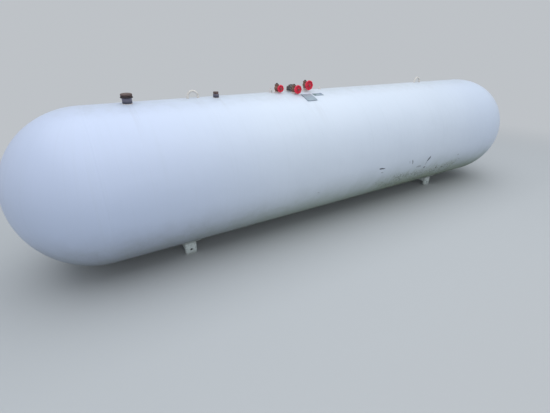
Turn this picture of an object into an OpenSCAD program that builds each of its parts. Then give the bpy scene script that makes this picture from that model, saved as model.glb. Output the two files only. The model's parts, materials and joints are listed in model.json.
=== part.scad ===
// Horizontal pressure tank: a welded steel cylinder with round heads on four short legs.
// Lengths are in millimetres. X runs along the tank, -Y is the side with the valves, Z is up.
// The origin is on the ground, under the middle of the tank.

/* [Vessel] */
// Outside diameter of the shell and of both heads
shell_od = 1041.4; // [960:0.1:1140]
// Length over both heads
overall_l = 4876.8; // [4400:0.1:5400]
// Thickness of the shell and head plate
wall = 6.4; // [4:0.1:12]
// Gap between the lowest line of the shell and the ground
ground_gap = 63.5; // [52:0.1:150]
// Width of a weld bead
bead_w = 14; // [8:0.5:20]
// Height of a weld bead above the plate
bead_h = 2; // [1:0.1:4]
// Angle of the long seam from the top, towards the rear
long_seam_angle = 112; // [60:1:130]

/* [Legs] */
// Distance from a head's seam to the middle of the nearest legs
leg_inset = 522; // [400:0.1:800]
// Width across the outer faces of the front and rear legs
leg_stance = 412.8; // [340:0.1:520]
// Width of one leg along the tank
leg_w = 90; // [75:1:130]
// Thickness of the formed leg plate
leg_plate = 6.4; // [4:0.1:9]
// Outer bend radius of the leg plate
leg_bend_r = 14; // [10:0.5:20]
// Depth of a leg's side flange at the ground
flange_foot_d = 22; // [18:1:40]
// Depth of a leg's side flange where it meets the tank
flange_top_d = 104; // [80:1:130]
// Height above the ground of the notch below the wide part of the flange
flange_notch_h = 44; // [20:1:50]
// How much the flange's lower edge rises from the notch to its inner end
flange_rise = 6; // [0:1:10]
// Diameter of the anchor hole in the leg
anchor_hole_d = 19; // [12:0.5:26]
// Height of the anchor hole above the ground
anchor_hole_h = 36; // [25:0.5:50]
// Thickness of the curved pad between leg and shell
pad_t = 6; // [4:0.1:10]
// How far a pad reaches past the leg on each side
pad_margin = 26; // [15:1:40]

/* [Lifting lugs] */
// Distance from a head's seam to the middle of the nearest lug
lug_inset = 714.7; // [600:0.1:900]
// Diameter of the round bar
lug_bar_d = 16; // [14:0.5:24]
// Width over the outside of a lug
lug_w = 92; // [85:1:130]
// Height of a lug above the shell
lug_h = 55; // [48:1:90]

/* [Capped riser] */
// Distance from the left head's seam to the riser
riser_inset = 271.7; // [150:0.1:450]
// Distance of the riser from the crown line, towards the front
riser_y = 36; // [0:1:60]
// Outside diameter of the riser pipe
riser_od = 60.3; // [48:0.1:73]
// Wall of the riser pipe
riser_wall = 3.9; // [2.5:0.1:6]
// Height of the riser pipe above the shell
riser_h = 52; // [45:0.5:70]
// Outside diameter of the iron cap
cap_od = 71; // [68:0.5:90]
// Height of the iron cap
cap_h = 30; // [24:0.5:36]
// Length of pipe thread inside the cap
cap_grip = 17; // [12:0.5:20]

/* [Plugged ports] */
// Distance from the left lug's middle to the iron port
iron_port_gap = 156; // [110:1:250]
// Distance of the iron port from the crown line, towards the front
iron_port_y = 45; // [0:1:60]
// Outside diameter of the iron port's coupling
iron_port_od = 42; // [34:0.5:50]
// Height of the iron port's coupling
iron_port_h = 24; // [15:0.5:32]
// Distance from the left valve to the taller of the two white ports beside it
tall_port_gap = 51; // [50:1:120]
// Distance of the taller port behind the crown line
tall_port_y = 6; // [0:1:20]
// Height of the taller port's coupling
tall_port_h = 24; // [15:0.5:30]
// Distance from the left valve to the shorter of these two ports
short_port_gap = 41; // [41:1:70]
// Distance of the shorter port from the crown line, towards the front
short_port_y = 30; // [26:1:40]
// Height of the shorter port's coupling
short_port_h = 19; // [12:0.5:30]
// Distance from the middle valve to the lone low port
low_port_gap = 317; // [260:1:400]
// Height of the low port's coupling
low_port_h = 9; // [5:0.5:12]
// Outside diameter of a white port's coupling
white_port_od = 24; // [20:0.5:27]

/* [Valves] */
// Distance of the middle valve from the middle of the tank, to the left
valve_group_x = 392; // [200:1:500]
// Distance from the middle valve to the left valve
left_valve_gap = 120; // [105:1:160]
// Distance of the left valve from the crown line, towards the front
left_valve_y = 10; // [0:1:30]
// Height of the left valve's stem above the shell
left_valve_rise = 32; // [30:0.5:50]
// Diameter of the left handwheel
left_wheel_d = 58; // [48:0.5:59]
// Distance of the middle valve from the crown line, towards the front
middle_valve_y = 76; // [72:1:90]
// Height of the middle valve's stem above the shell
middle_valve_rise = 30; // [30:0.5:50]
// Diameter of the middle handwheel
middle_wheel_d = 69; // [50:0.5:72]
// Distance from the middle valve to the right valve
right_valve_gap = 140; // [110:1:180]
// Distance of the right valve from the crown line, towards the front
right_valve_y = 31; // [20:1:50]
// Height of the right valve's stem above the shell
right_valve_rise = 47; // [42:0.5:60]
// Diameter of the right handwheel
right_wheel_d = 77; // [56:0.5:82]
// Diameter of a valve's round body
globe_d = 42; // [38:0.5:44]
// Width across the flats of a valve's end hexagons
valve_hex = 36; // [32:0.5:40]
// Height of an end hexagon
valve_hex_h = 8; // [6:0.5:10]
// Distance from the stem's axis to the valve's upper end
valve_top = 27; // [26:0.5:36]
// Outside diameter of the coupling that holds a valve
valve_coupling_od = 54; // [46:0.5:58]
// Height of a valve coupling above the shell
valve_coupling_h = 7; // [6:0.5:8]
// Diameter of the thread between valve and coupling
valve_thread_d = 33.4; // [27:0.1:34]
// Diameter of a valve stem
stem_d = 9; // [8:0.1:10]
// Gap between a bonnet's packing nut and the handwheel's hub
wheel_gap = 6; // [5:0.5:10]
// Thickness of a handwheel's rim
rim_t = 12; // [9:0.5:13]
// Number of finger grooves round a handwheel
grooves = 8; // [5:1:12]

/* [Gauge] */
// Distance from the middle valve to the gauge, to the left
gauge_gap = 1; // [1:1:20]
// Distance of the gauge's coupling behind the crown line
gauge_y = 14; // [10:1:30]
// Diameter of the gauge's case
gauge_d = 53; // [46:0.5:55]
// Depth of the gauge's case
gauge_depth = 22; // [18:0.5:24]
// Height of the dial's middle above the shell
gauge_rise = 31; // [31:0.5:50]
// Distance from the gauge's coupling to the back of its case
gauge_reach = 32; // [26:0.5:33]
// Diameter of the gauge's coupling
gauge_coupling_od = 28; // [26:0.5:32]
// Height of the gauge's coupling
gauge_coupling_h = 6; // [4:0.5:7]
// Outside diameter of the elbow that carries the gauge
elbow_d = 20; // [16:0.5:21]

/* [Plates] */
// Distance from the middle valve to the middle of the data plate
data_plate_gap = 71.5; // [60:0.5:120]
// Length of the data plate along the tank
data_plate_w = 94; // [80:1:130]
// Angle of the data plate's middle from the top
data_plate_angle = 20.6; // [18:0.1:26]
// Arc of the data plate
data_plate_arc = 11.6; // [9:0.1:15]
// Distance from the middle valve to the middle of the small plate
small_plate_gap = 186; // [165:1:260]
// Length of the small plate along the tank
small_plate_w = 92; // [70:1:110]
// Angle of the small plate's middle from the top
small_plate_angle = 16.4; // [14:0.1:26]
// Arc of the small plate
small_plate_arc = 5; // [2.5:0.1:7]
// Thickness of both plates
plate_t = 1.6; // [1:0.1:3]
// Thickness of the bracket under the data plate
bracket_t = 3; // [2:0.1:6]
// How far the data plate reaches past its bracket
plate_lap = 6; // [3:0.5:10]

/* [Hidden] */
$fn = 96;

shell_r = shell_od / 2;
inner_r = shell_r - wall;
axis_height = shell_r + ground_gap;
seam_x = overall_l / 2 - shell_r;
leg_x = seam_x - leg_inset;
lug_x = seam_x - lug_inset;
riser_x = riser_inset - seam_x;
iron_port_x = iron_port_gap - lug_x;
middle_valve_x = -valve_group_x;
left_valve_x = middle_valve_x - left_valve_gap;
right_valve_x = middle_valve_x + right_valve_gap;
gauge_x = middle_valve_x - gauge_gap;
data_plate_x = middle_valve_x + data_plate_gap;
small_plate_x = middle_valve_x + small_plate_gap;
// Radial gap left in a screwed joint
thread_gap = 0.1;
// Radial gap round a stem that turns
stem_gap = 0.08;
// How far a cutting shape runs past what it cuts
past = 1;
// How far a welded-in coupling shows inside the shell
root_in = 4;
// Depth of a square-headed plug's shank in its coupling
iron_plug_grip = 14;
white_plug_grip = 10;
// Bore of a plugged port's coupling
iron_port_bore = iron_port_od * 0.64;
white_port_bore = white_port_od * 0.56;
// How much a plug's collar is smaller than its coupling
collar_step = 6;

valves = [
    [left_valve_x, -left_valve_y, left_valve_rise, left_wheel_d],
    [middle_valve_x, -middle_valve_y, middle_valve_rise, middle_wheel_d],
    [right_valve_x, -right_valve_y, right_valve_rise, right_wheel_d]
];
white_ports = [
    [left_valve_x - tall_port_gap, tall_port_y, tall_port_h],
    [left_valve_x - short_port_gap, -short_port_y, short_port_h],
    [middle_valve_x + low_port_gap, 0, low_port_h]
];

// Height of the shell's outer face above the axis at a distance y from the crown line
function shell_z(y) = sqrt(shell_r * shell_r - y * y);
// Distance across the corners of a hexagon with the given flats
function across_corners(flats) = flats / cos(30);
// Radius of the circle that caps a bead of the given width and height
function bead_r(w, h) = (w * w / 4 + h * h) / (2 * h);

// Turns children so that their Z axis lies along the tank's axis, with +X of the profile down
module along_tank() {
    translate([0, 0, axis_height]) rotate([0, 90, 0]) children();
}

// Puts children upright on the shell above the point x, y
module on_shell(x, y) {
    translate([x, y, axis_height + shell_z(y)]) children();
}

// Turns children so that their Z axis points to the front of the tank
module facing_front() {
    rotate([90, 0, 0]) children();
}

// The full cylinder of the shell, or one larger by grow
module shell_bulk(grow = 0) {
    along_tank() cylinder(h = overall_l, r = shell_r + grow, center = true);
}

// A vertical hole through the shell's plate at x, y
module port_hole(x, y, d) {
    hole_depth = 6 * wall;
    on_shell(x, y) translate([0, 0, -hole_depth]) cylinder(h = 1.5 * hole_depth, d = d);
}

// A curved plate that lies on radius r, with its middle at angle mid from the top to the front
module curved_plate(x, w, mid, arc, r, t) {
    along_tank()
        rotate([0, 0, 180 + mid - arc / 2])
            rotate_extrude(angle = arc) translate([r, x - w / 2]) square([t, w]);
}

// A coupling welded into the shell, with a bore for the screwed piece and a bevelled top edge
module coupling(x, y, od, bore, h) {
    bevel = 1.5;
    on_shell(x, y) difference() {
        union() {
            translate([0, 0, -wall - root_in]) cylinder(h = wall + root_in + h - bevel, d = od);
            translate([0, 0, h - bevel]) cylinder(h = bevel, d1 = od, d2 = od - 2 * bevel);
        }
        translate([0, 0, -wall - root_in - past]) cylinder(h = wall + root_in + h + 2 * past, d = bore);
    }
}

// A pipe plug: a shank in the bore, a round collar and a square head
module pipe_plug(bore, grip, collar_d, collar_h, head, head_h) {
    translate([0, 0, -grip]) cylinder(h = grip, d = bore - 2 * thread_gap);
    cylinder(h = collar_h, d = collar_d);
    translate([0, 0, collar_h + head_h / 2]) cube([head, head, head_h], center = true);
}

module shell() {
    color("whitesmoke") difference() {
        along_tank() difference() {
            cylinder(h = 2 * seam_x, r = shell_r, center = true);
            cylinder(h = 2 * seam_x + 2 * past, r = inner_r, center = true);
        }
        for (v = valves) port_hole(v[0], v[1], valve_coupling_od);
        for (p = white_ports) port_hole(p[0], p[1], white_port_od);
        port_hole(riser_x, -riser_y, riser_od);
        port_hole(iron_port_x, -iron_port_y, iron_port_od);
        port_hole(gauge_x, gauge_y, gauge_coupling_od);
    }
}

// A hollow half sphere whose open edge meets the shell; side is -1 for left and 1 for right
module head(side) {
    color("whitesmoke") translate([side * seam_x, 0, axis_height]) difference() {
        sphere(r = shell_r);
        sphere(r = inner_r);
        translate([-side * shell_od, 0, 0]) cube(2 * shell_od, center = true);
    }
}

// Cross-section of a weld bead that lies on the shell's surface
module bead_section() {
    r = bead_r(bead_w, bead_h);
    intersection() {
        translate([shell_r + bead_h - r, 0]) circle(r = r);
        translate([shell_r, -bead_w / 2]) square([bead_h + past, bead_w]);
    }
}

// A domed weld bead round the seam between shell and head
module head_weld(side) {
    color("white") translate([side * seam_x, 0, 0]) along_tank() rotate_extrude() bead_section();
}

// The straight bead of the rolled shell's own seam, on the rear side
module long_seam_weld() {
    color("white") along_tank() rotate([0, 0, 180 - long_seam_angle])
        linear_extrude(height = 2 * seam_x - bead_w, center = true) bead_section();
}

// Outline of the formed leg, seen from above: a web with two flanges and round bends
module leg_section() {
    inner_bend = leg_bend_r - leg_plate;
    difference() {
        bent_block(leg_w, flange_top_d, leg_bend_r);
        translate([0, leg_plate]) bent_block(leg_w - 2 * leg_plate, flange_top_d, inner_bend);
    }
}

// A block of width w from the front face back to depth d, with its two front corners rounded
module bent_block(w, d, r) {
    translate([-w / 2, r]) square([w, d - r]);
    translate([-w / 2 + r, 0]) square([w - 2 * r, d]);
    for (side = [-1, 1]) translate([side * (w / 2 - r), r]) circle(r = r);
}

// Side view of a leg: narrow at the foot, then notched out to its full depth at the tank
module leg_side() {
    polygon([
        [0, 0],
        [flange_foot_d, 0],
        [flange_foot_d, flange_notch_h],
        [flange_top_d, flange_notch_h + flange_rise],
        [flange_top_d, axis_height],
        [0, axis_height]
    ]);
}

// One leg at its place on the front side, cut to the curve of the pad
module front_leg(side) {
    translate([side * leg_x, -leg_stance / 2, 0]) intersection() {
        linear_extrude(height = axis_height) leg_section();
        rotate([90, 0, 90]) linear_extrude(height = leg_w, center = true) leg_side();
    }
}

// A complete leg; depth is -1 for the front side and 1 for the rear
module leg(side, depth) {
    color("gainsboro") difference() {
        mirror([0, depth > 0 ? 1 : 0, 0]) difference() {
            front_leg(side);
            translate([side * leg_x, -leg_stance / 2, anchor_hole_h])
                facing_front() cylinder(h = 4 * leg_plate, d = anchor_hole_d, center = true);
        }
        shell_bulk(pad_t);
    }
}

// The curved pad welded between a leg and the shell
module leg_pad(side, depth) {
    lower = asin((leg_stance / 2 - flange_top_d - pad_margin) / shell_r);
    upper = asin((leg_stance / 2 + pad_margin) / shell_r);
    color("gainsboro") mirror([0, depth > 0 ? 1 : 0, 0])
        curved_plate(side * leg_x, leg_w + 2 * pad_margin, 180 - (lower + upper) / 2,
            upper - lower, shell_r, pad_t);
}

// A lifting lug: one round bar bent to an arch and welded on the crown of the shell
module lifting_lug(side) {
    bend_r = (lug_w - lug_bar_d) / 2;
    straight = lug_h - lug_bar_d / 2 - bend_r;
    root = lug_bar_d;
    color("ivory") difference() {
        on_shell(side * lug_x, 0) {
            translate([0, 0, straight]) facing_front()
                rotate_extrude(angle = 180) translate([bend_r, 0]) circle(d = lug_bar_d);
            for (foot = [-1, 1])
                translate([foot * bend_r, 0, -root]) cylinder(h = straight + root, d = lug_bar_d);
        }
        shell_bulk();
    }
}

module riser_pipe() {
    color("slategray") on_shell(riser_x, -riser_y) translate([0, 0, -wall - root_in]) difference() {
        cylinder(h = wall + root_in + riser_h, d = riser_od);
        translate([0, 0, -past])
            cylinder(h = wall + root_in + riser_h + 2 * past, d = riser_od - 2 * riser_wall);
    }
}

// A cast iron pipe cap: a banded skirt, a plain barrel and a low round crown
module riser_cap() {
    band_h = 7;
    band_grow = 3;
    crown_h = 6;
    barrel_h = cap_h - crown_h;
    crown_r = (cap_od * cap_od / 4 + crown_h * crown_h) / (2 * crown_h);
    color("rosybrown") on_shell(riser_x, -riser_y) translate([0, 0, riser_h - cap_grip]) difference() {
        union() {
            cylinder(h = barrel_h, d = cap_od);
            cylinder(h = band_h, d = cap_od + 2 * band_grow);
            intersection() {
                translate([0, 0, cap_h - crown_r]) sphere(r = crown_r);
                translate([0, 0, barrel_h]) cylinder(h = crown_h + past, d = cap_od);
            }
        }
        translate([0, 0, -past]) cylinder(h = cap_grip + past, d = riser_od + 2 * thread_gap);
    }
}

module iron_port_coupling() {
    color("steelblue") coupling(iron_port_x, -iron_port_y, iron_port_od, iron_port_bore, iron_port_h);
}

// The iron port's plug: a shank in the coupling, a collar and a wide hexagon head
module iron_port_plug() {
    collar_h = 4;
    head_h = 13;
    color("dimgray") on_shell(iron_port_x, -iron_port_y) translate([0, 0, iron_port_h]) {
        translate([0, 0, -iron_plug_grip])
            cylinder(h = iron_plug_grip, d = iron_port_bore - 2 * thread_gap);
        cylinder(h = collar_h, d = iron_port_od - collar_step);
        translate([0, 0, collar_h])
            cylinder(h = head_h, d = across_corners(iron_port_od - collar_step), $fn = 6);
    }
}

module white_port_couplings() {
    for (p = white_ports) color("white") coupling(p[0], p[1], white_port_od, white_port_bore, p[2]);
}

module white_port_plugs() {
    collar_h = 3;
    head = 10;
    head_h = 7;
    for (p = white_ports) color("white") on_shell(p[0], p[1]) translate([0, 0, p[2]])
        pipe_plug(white_port_bore, white_plug_grip, white_port_od - collar_step, collar_h, head, head_h);
}

module valve_coupling(v) {
    color("white") coupling(v[0], v[1], valve_coupling_od, valve_thread_d, valve_coupling_h);
}

// Puts children at the middle of a valve, where its stem's axis crosses its upright axis
module at_valve(v) {
    on_shell(v[0], v[1]) translate([0, 0, v[2]]) children();
}

// Where the bonnet's face meets the body, and the lengths of the bonnet's steps
bonnet_start = globe_d / 2 + 1;
bonnet_hex = 32;
bonnet_hex_h = 8;
bonnet_neck_d = 24;
bonnet_neck_h = 5;
packing_hex = 20;
packing_h = 8;
bonnet_end = bonnet_start + bonnet_hex_h + bonnet_neck_h + packing_h;
// How deep the stem's bore goes into the body, and the room left at its bottom
stem_depth = 10;
stem_room = 2;
// Length of the shank screwed into a valve's coupling, and of the bore behind the outlet plug
shank_h = 12;
// Wall left round the bore behind the outlet plug
outlet_wall = 4.5;
outlet_bore = valve_thread_d - 2 * outlet_wall;
// The handwheel's hub, from its back face to its front face, round the rim's middle plane
hub_back = 5;
hub_front = 8;
hub_d = 20;
// Radial width of the rim, and the thickness of the web between hub and rim
rim_w = 9;
web_t = 4;
wheel_reach = bonnet_end + wheel_gap + hub_back;

// Half section of a valve body: a threaded shank, a straight barrel and the round middle
module valve_section(foot) {
    hex_ledge = 2.5;
    barrel_r = valve_hex / 2 - hex_ledge;
    translate([0, foot - shank_h]) square([valve_thread_d / 2 - thread_gap, shank_h]);
    translate([0, foot]) square([barrel_r, valve_top - foot]);
    intersection() {
        circle(d = globe_d);
        translate([0, -globe_d]) square(2 * globe_d);
    }
}

// A globe valve body: hexagons at both ends, a round middle and the boss that takes the bonnet
module valve_body(v) {
    foot = valve_coupling_h - v[2];
    seam_turn = 40;
    boss_step = 3;
    color("darkkhaki") at_valve(v) difference() {
        union() {
            rotate([0, 0, seam_turn]) rotate_extrude() valve_section(foot);
            translate([0, 0, foot]) cylinder(h = valve_hex_h, d = across_corners(valve_hex), $fn = 6);
            translate([0, 0, valve_top - valve_hex_h])
                cylinder(h = valve_hex_h, d = across_corners(valve_hex), $fn = 6);
            facing_front() cylinder(h = bonnet_start, d = bonnet_hex - boss_step);
        }
        translate([0, 0, valve_top - shank_h]) cylinder(h = shank_h + past, d = outlet_bore);
        facing_front() translate([0, 0, bonnet_start - stem_depth])
            cylinder(h = stem_depth + past, d = stem_d + 2 * stem_gap);
    }
}

// The bonnet: a hexagon, a neck and the packing nut, bored for the stem
module valve_bonnet(v) {
    color("goldenrod") at_valve(v) facing_front() translate([0, 0, bonnet_start]) difference() {
        union() {
            cylinder(h = bonnet_hex_h, d = across_corners(bonnet_hex), $fn = 6);
            cylinder(h = bonnet_hex_h + bonnet_neck_h, d = bonnet_neck_d);
            translate([0, 0, bonnet_hex_h + bonnet_neck_h])
                cylinder(h = packing_h, d = across_corners(packing_hex), $fn = 6);
        }
        translate([0, 0, -past])
            cylinder(h = bonnet_end - bonnet_start + 2 * past, d = stem_d + 2 * stem_gap);
    }
}

// The plug that closes a valve's upper end
module outlet_plug(v) {
    collar_h = 3;
    head = 14;
    head_h = 8;
    color("dimgray") at_valve(v) translate([0, 0, valve_top])
        pipe_plug(outlet_bore, white_plug_grip, valve_hex - collar_step, collar_h, head, head_h);
}

// Half section of a handwheel: a hub, a dished web and a rim with a round outer edge
module wheel_section(wheel_r) {
    edge_r = rim_t / 2;
    translate([0, -hub_back]) square([hub_d / 2, hub_back + hub_front]);
    translate([0, -web_t]) square([wheel_r - edge_r, web_t]);
    translate([wheel_r - rim_w, -edge_r]) square([rim_w - edge_r, rim_t]);
    translate([wheel_r - edge_r, 0]) circle(r = edge_r);
}

// A handwheel with finger grooves and ribs, on the stem that turns in the bonnet
module handwheel(v) {
    wheel_r = v[3] / 2;
    groove_r = 0.26 * wheel_r;
    groove_depth = 2.6;
    rib_w = 2.6;
    rib_h = 3.4;
    rib_l = wheel_r - rim_w - hub_d / 2;
    stem_back = bonnet_start - stem_depth + stem_room;
    nut_h = 4;
    nut_flats = 14;
    nut_top = wheel_reach + hub_front + nut_h;
    color("crimson") at_valve(v) facing_front() {
        translate([0, 0, wheel_reach]) {
            difference() {
                rotate_extrude() wheel_section(wheel_r);
                for (i = [0:grooves - 1]) rotate([0, 0, (i + 0.5) * 360 / grooves])
                    translate([wheel_r + groove_r - groove_depth, 0, 0])
                        cylinder(h = rim_t + 2 * past, r = groove_r, center = true);
            }
            for (i = [0:grooves / 2 - 1]) rotate([0, 0, i * 720 / grooves])
                translate([hub_d / 2 - past, -rib_w / 2, -past])
                    cube([rib_l + 2 * past, rib_w, rib_h + past]);
        }
        translate([0, 0, stem_back]) cylinder(h = nut_top - stem_back, d = stem_d);
        translate([0, 0, nut_top - nut_h]) cylinder(h = nut_h, d = across_corners(nut_flats), $fn = 6);
    }
}

module gauge_coupling() {
    color("white") coupling(gauge_x, gauge_y, gauge_coupling_od, gauge_coupling_od / 2, gauge_coupling_h);
}

// Wall of the gauge case round its front well, the well's depth and how far the bezel stands out
gauge_rim_w = 4;
gauge_well = 5;
bezel_grow = 1.5;
// Diameter of the dial and the glass that lie in the well
dial_d = gauge_d - 2 * gauge_rim_w - 2 * thread_gap;
// Height of the hexagon behind the gauge case, and how far its flats stand inside the elbow
elbow_hex_h = 6;
elbow_hex_step = 4;

// Puts children at the bend of the gauge's elbow
module at_elbow() {
    on_shell(gauge_x, gauge_y) translate([0, 0, gauge_rise]) children();
}

// A street elbow: up from the coupling, round a ball-shaped bend and out to the gauge's back
module gauge_elbow() {
    foot = gauge_coupling_h - gauge_rise;
    shank = 9;
    color("dimgray") at_elbow() union() {
        translate([0, 0, foot - shank])
            cylinder(h = shank, d = gauge_coupling_od / 2 - 2 * thread_gap);
        translate([0, 0, foot]) cylinder(h = -foot, d = elbow_d);
        sphere(d = elbow_d);
        facing_front() cylinder(h = gauge_reach - elbow_hex_h, d = elbow_d);
    }
}

// The gauge's round case with its bezel, its open front well and the hexagon at its back
module gauge_case() {
    color("dimgray") at_elbow() facing_front() difference() {
        union() {
            translate([0, 0, gauge_reach - elbow_hex_h])
                cylinder(h = elbow_hex_h, d = across_corners(elbow_d - elbow_hex_step), $fn = 6);
            translate([0, 0, gauge_reach]) cylinder(h = gauge_depth - gauge_well, d = gauge_d);
            translate([0, 0, gauge_reach + gauge_depth - gauge_well])
                cylinder(h = gauge_well, d = gauge_d + 2 * bezel_grow);
        }
        translate([0, 0, gauge_reach + gauge_depth - gauge_well])
            cylinder(h = gauge_well + past, d = gauge_d - 2 * gauge_rim_w);
    }
}

// The dial at the bottom of the case's front well
module gauge_dial() {
    dial_t = 1.5;
    color("lightgray") at_elbow() facing_front()
        translate([0, 0, gauge_reach + gauge_depth - gauge_well])
            cylinder(h = dial_t, d = dial_d);
}

// The window that closes the case's front well
module gauge_glass() {
    glass_t = 2;
    glass_inset = 0.5;
    color("lightcyan", 0.4) at_elbow() facing_front()
        translate([0, 0, gauge_reach + gauge_depth - glass_t - glass_inset])
            cylinder(h = glass_t, d = dial_d);
}

module data_plate_bracket() {
    lap_arc = plate_lap / shell_r * 180 / PI;
    color("lightsteelblue") curved_plate(data_plate_x, data_plate_w - 2 * plate_lap,
        data_plate_angle, data_plate_arc - 2 * lap_arc, shell_r, bracket_t);
}

module data_plate() {
    color("lightsteelblue") curved_plate(data_plate_x, data_plate_w,
        data_plate_angle, data_plate_arc, shell_r + bracket_t, plate_t);
}

module small_plate() {
    color("slategray") curved_plate(small_plate_x, small_plate_w,
        small_plate_angle, small_plate_arc, shell_r, plate_t);
}

shell();
head(-1);  // left_head
head(1);  // right_head
head_weld(-1);  // left_head_weld
head_weld(1);  // right_head_weld
long_seam_weld();
leg(-1, -1);  // front_left_leg
leg(1, -1);  // front_right_leg
leg(-1, 1);  // rear_left_leg
leg(1, 1);  // rear_right_leg
leg_pad(-1, -1);  // front_left_pad
leg_pad(1, -1);  // front_right_pad
leg_pad(-1, 1);  // rear_left_pad
leg_pad(1, 1);  // rear_right_pad
lifting_lug(-1);  // left_lifting_lug
lifting_lug(1);  // right_lifting_lug
riser_pipe();
riser_cap();
iron_port_coupling();
iron_port_plug();
white_port_couplings();
white_port_plugs();
valve_coupling(valves[0]);  // left_valve_coupling
valve_coupling(valves[1]);  // middle_valve_coupling
valve_coupling(valves[2]);  // right_valve_coupling
valve_body(valves[0]);  // left_valve_body
valve_body(valves[1]);  // middle_valve_body
valve_body(valves[2]);  // right_valve_body
valve_bonnet(valves[0]);  // left_valve_bonnet
valve_bonnet(valves[1]);  // middle_valve_bonnet
valve_bonnet(valves[2]);  // right_valve_bonnet
outlet_plug(valves[0]);  // left_outlet_plug
outlet_plug(valves[1]);  // middle_outlet_plug
outlet_plug(valves[2]);  // right_outlet_plug
handwheel(valves[0]);  // left_handwheel
handwheel(valves[1]);  // middle_handwheel
handwheel(valves[2]);  // right_handwheel
gauge_coupling();
gauge_elbow();
gauge_case();
gauge_dial();
gauge_glass();
data_plate_bracket();
data_plate();
small_plate();
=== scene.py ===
# %% [markdown]
# # A weathered pressure tank
# This lesson dresses a used gas tank: white paint on steel, with dirt that runs down its sides,
# scuffs low on the front, brass valves with red handwheels, and an iron cap on a pipe.
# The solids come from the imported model. Everything here is in metres, in the same frame:
# X along the tank, -Y towards the handwheels, Z up, and the ground at zero.

# %% Load the solids
import json
import math
from math import acos, asin, atan2, cos, pi, radians, sin, sqrt

import bmesh
import bpy
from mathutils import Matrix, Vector


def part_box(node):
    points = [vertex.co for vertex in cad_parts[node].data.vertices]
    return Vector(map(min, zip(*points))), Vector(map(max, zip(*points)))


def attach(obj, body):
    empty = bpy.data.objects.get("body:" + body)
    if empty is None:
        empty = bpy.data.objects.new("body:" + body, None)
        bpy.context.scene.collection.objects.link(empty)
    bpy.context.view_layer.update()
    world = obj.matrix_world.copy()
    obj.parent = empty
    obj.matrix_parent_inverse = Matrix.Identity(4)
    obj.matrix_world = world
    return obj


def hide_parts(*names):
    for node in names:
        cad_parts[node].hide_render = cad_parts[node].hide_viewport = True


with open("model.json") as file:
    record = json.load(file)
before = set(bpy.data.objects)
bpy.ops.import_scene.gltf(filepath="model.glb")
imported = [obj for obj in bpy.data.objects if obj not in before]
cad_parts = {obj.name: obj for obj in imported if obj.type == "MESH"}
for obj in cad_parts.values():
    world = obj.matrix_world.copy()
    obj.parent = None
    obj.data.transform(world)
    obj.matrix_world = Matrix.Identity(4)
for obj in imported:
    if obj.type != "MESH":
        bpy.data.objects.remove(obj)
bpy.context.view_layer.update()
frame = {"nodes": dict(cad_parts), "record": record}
nodes = frame["nodes"]

# %% [markdown]
# ## Measures that later cells share
# The tank's radius and the height of its axis are read from the solids, so that every weld,
# stain and scuff lies on the real surface. A place on the tank is given by x and by its angle
# from the top, positive towards the front.

# %% Radius, axis and seams
MM = 0.001
shell_low, shell_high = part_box("shell")
RADIUS = (shell_high.z - shell_low.z) / 2
AXIS_Z = (shell_high.z + shell_low.z) / 2
CROWN_Z = AXIS_Z + RADIUS
SEAM_X = shell_high.x
print("radius", round(RADIUS, 4), "axis height", round(AXIS_Z, 4), "seam at", round(SEAM_X, 4))


def on_tank(x, degrees, lift=0.0):
    """The point of the cylinder at x and at an angle from the top."""
    a = radians(degrees)
    r = RADIUS + lift
    return Vector((x, -r * sin(a), AXIS_Z + r * cos(a)))


def off_tank(point):
    """The way straight off the cylinder at a point."""
    return Vector((0, point.y, point.z - AXIS_Z)).normalized()


def middle_of(node):
    """The middle of a solid's box."""
    low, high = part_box(node)
    return (low + high) / 2


def top_of(node):
    """The middle of the upper face of a solid's box."""
    middle = middle_of(node)
    return Vector((middle.x, middle.y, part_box(node)[1].z))


def width_of(node):
    """How far a solid reaches along x."""
    low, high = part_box(node)
    return high.x - low.x


# %% [markdown]
# ## The camera
# The photograph was taken standing at the tank's left end with a wide lens, looking down along
# it. The camera's place, its turn and its lens were fitted to the outline of the tank, and are
# written here as real sizes, from the middle of the tank's axis.

# %% Camera
IMAGE_W = 550
FOCAL_PX = 345.98
CAMERA_AT = (-2.0457, -2.4559, 0.8344)
TURN = radians(31.79)
TILT = radians(24.47)
SENSOR = 36.0
FAR_CLIP = 100


def put(name, data):
    """An object in the scene with that mesh, lamp or camera."""
    obj = bpy.data.objects.new(name, data)
    bpy.context.scene.collection.objects.link(obj)
    return obj


camera = put("camera", bpy.data.cameras.new("camera"))
camera.data.sensor_fit = "HORIZONTAL"
camera.data.sensor_width = SENSOR
camera.data.lens = FOCAL_PX / IMAGE_W * SENSOR
camera.data.clip_end = FAR_CLIP
camera.location = (CAMERA_AT[0], CAMERA_AT[1], CAMERA_AT[2] + AXIS_Z)
camera.rotation_euler = (pi / 2 - TILT, 0, -TURN)
bpy.context.scene.camera = camera
print("lens", round(camera.data.lens, 2), "mm at", tuple(round(c, 3) for c in camera.location))

# %% [markdown]
# ## Wiring nodes by hand
# A finish is a recipe: take the place on the surface, make a pattern, mix two colours by it.
# In the node editor each step is one node. The bench below adds one node for each call and wires
# it up. What a node gives out is a signal, and sums on signals add math nodes, so the code of a
# finish reads like the formula that its maker has in mind.

# %% A bench for node recipes
FLOAT = "NodeSocketFloat"
COLOUR = "NodeSocketColor"
VECTOR = "NodeSocketVector"


class Signal:
    """A value that a node on a bench gives out."""

    def __init__(self, bench, socket):
        self.bench = bench
        self.socket = socket

    def __add__(self, other):
        return self.bench.math("ADD", self, other)

    def __sub__(self, other):
        return self.bench.math("SUBTRACT", self, other)

    def __mul__(self, other):
        return self.bench.math("MULTIPLY", self, other)

    def __truediv__(self, other):
        return self.bench.math("DIVIDE", self, other)

    def __neg__(self):
        return self * -1.0

    def __abs__(self):
        return self.bench.math("ABSOLUTE", self)


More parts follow.
